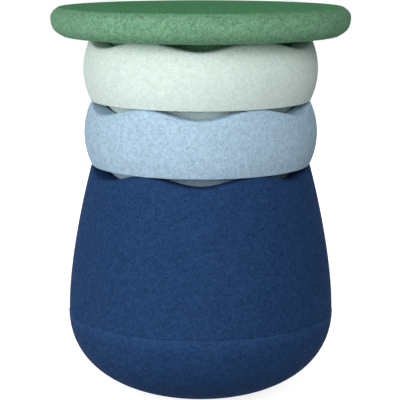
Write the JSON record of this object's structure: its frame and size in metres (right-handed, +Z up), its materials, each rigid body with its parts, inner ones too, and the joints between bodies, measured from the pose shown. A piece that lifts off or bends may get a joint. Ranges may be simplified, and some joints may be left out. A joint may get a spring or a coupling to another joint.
{
  "type": "stacked balance stepping stones",
  "caption": "Stack of moulded foam play pieces: a hollow round-bottomed base, stepping stones with wavy rims nested in it, and a round balance board as the seat.",
  "frame": {"origin": "centre of the base's flat foot, on the floor", "axes": "+Z up along the axis of the stack, -Y towards the front, where a dip of each wavy rim lies"},
  "size_m": [0.35, 0.35, 0.4569],
  "materials": {
    "base_bowl": "moulded bead foam, dark blue",
    "base_body": "moulded bead foam, dark blue",
    "lower_stone": "moulded bead foam, light blue",
    "upper_stone": "moulded bead foam, mint",
    "balance_board": "moulded bead foam, green"
  },
  "bodies": {
    "base": {"base_bowl": "base_bowl", "base_body": "base_body"},
    "lower_stone": {"lower_stone": "lower_stone"},
    "upper_stone": {"upper_stone": "upper_stone"},
    "board": {"balance_board": "balance_board"}
  },
  "joints": [
    {"name": "lower_stone_lift", "type": "slide", "parent": "base", "child": "lower_stone", "axis": [0, 0, 1], "range_m": [0, 0.1]},
    {"name": "upper_stone_lift", "type": "slide", "parent": "lower_stone", "child": "upper_stone", "axis": [0, 0, 1], "range_m": [0, 0.1]},
    {"name": "board_lift", "type": "slide", "parent": "upper_stone", "child": "board", "axis": [0, 0, 1], "range_m": [0, 0.1]}
  ]
}
